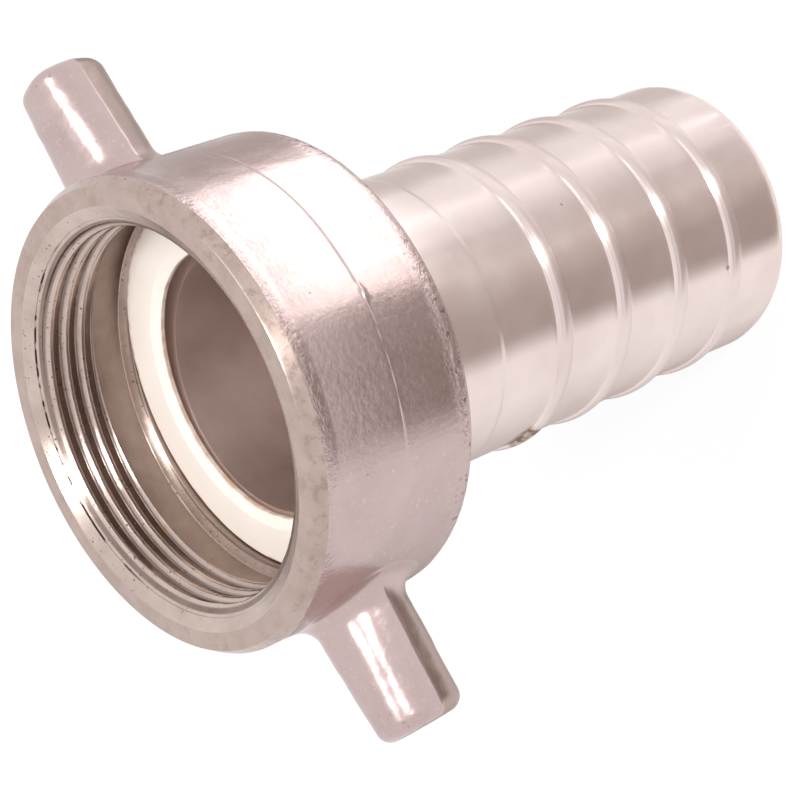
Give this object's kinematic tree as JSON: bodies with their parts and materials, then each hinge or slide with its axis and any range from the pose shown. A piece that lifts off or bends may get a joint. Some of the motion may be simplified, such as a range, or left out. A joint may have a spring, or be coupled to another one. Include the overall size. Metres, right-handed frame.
{
  "type": "hose coupling",
  "caption": "Cap and tail hose coupling: a lugged cap with an internal pipe thread swivels on a ribbed hose tail and clamps a flat sealing washer.",
  "frame": {"origin": "centre of the hose-end face, on the surface the coupling stands on", "axes": "+Z along the water passage from the hose end to the threaded mouth; the two lugs lie along X"},
  "size_m": [0.0892, 0.0576, 0.092],
  "materials": {
    "cast_cap": "as cast, satin, machined mouth",
    "turned_tail": "smooth turned satin",
    "washer": "matt ivory"
  },
  "bodies": {
    "tail": {"tail": "turned_tail"},
    "washer": {"washer": "washer"},
    "cap": {"cap": "cast_cap"}
  },
  "joints": [
    {"name": "swivel", "type": "hinge", "parent": "tail", "child": "washer", "pos_m": [0, 0, 0.0777], "axis": [0, 0, 1], "continuous": true},
    {"name": "cap_slide", "type": "slide", "parent": "washer", "child": "cap", "axis": [0, 0, -1], "range_m": [0, 0.0033]}
  ]
}
